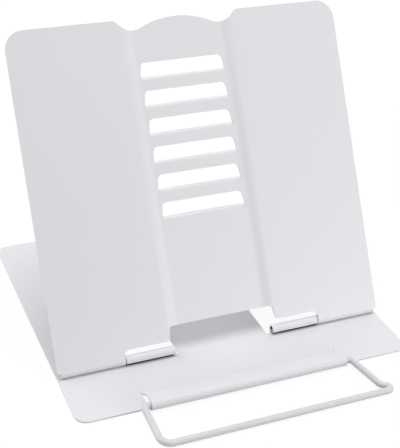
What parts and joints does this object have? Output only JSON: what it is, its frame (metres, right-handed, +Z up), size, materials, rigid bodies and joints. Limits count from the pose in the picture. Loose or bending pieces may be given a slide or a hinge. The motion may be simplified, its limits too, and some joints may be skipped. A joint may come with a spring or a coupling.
{
  "type": "book stand",
  "caption": "Folding sheet-metal book and document stand: flat base, leaning slotted back panel on rolled hinges, rear prop and wire page bail.",
  "frame": {"origin": "on the table, on the base's underside, in the middle of the width and straight below the axis of the panel's hinges", "axes": "+Z up, -Y towards the reader, +X to the reader's right"},
  "size_m": [0.2, 0.223, 0.171],
  "materials": {
    "base_coat": "satin white powder coat",
    "panel_coat": "satin white powder coat",
    "prop_coat": "satin white powder coat",
    "wire_coat": "satin white powder coat",
    "pin_steel": "drawn steel"
  },
  "bodies": {
    "base": {"base_plate": "base_coat", "hinge_pin_left": "pin_steel", "hinge_pin_right": "pin_steel", "prop_pin": "pin_steel"},
    "panel": {"back_panel": "panel_coat"},
    "prop": {"prop_strip": "prop_coat"},
    "bail": {"bail_wire": "wire_coat"}
  },
  "joints": [
    {"name": "panel_tilt", "type": "hinge", "parent": "base", "child": "panel", "pos_m": [0, 0, 0.00386], "axis": [1, 0, 0], "range_deg": [0, 93]},
    {"name": "prop_fold", "type": "hinge", "parent": "base", "child": "prop", "pos_m": [0, 0.143, 0.00386], "axis": [1, 0, 0], "range_deg": [0, 32]},
    {"name": "bail_swing", "type": "hinge", "parent": "base", "child": "bail", "pos_m": [0, -0.0412, 0.0032], "axis": [1, 0, 0], "range_deg": [-182, 0]}
  ]
}
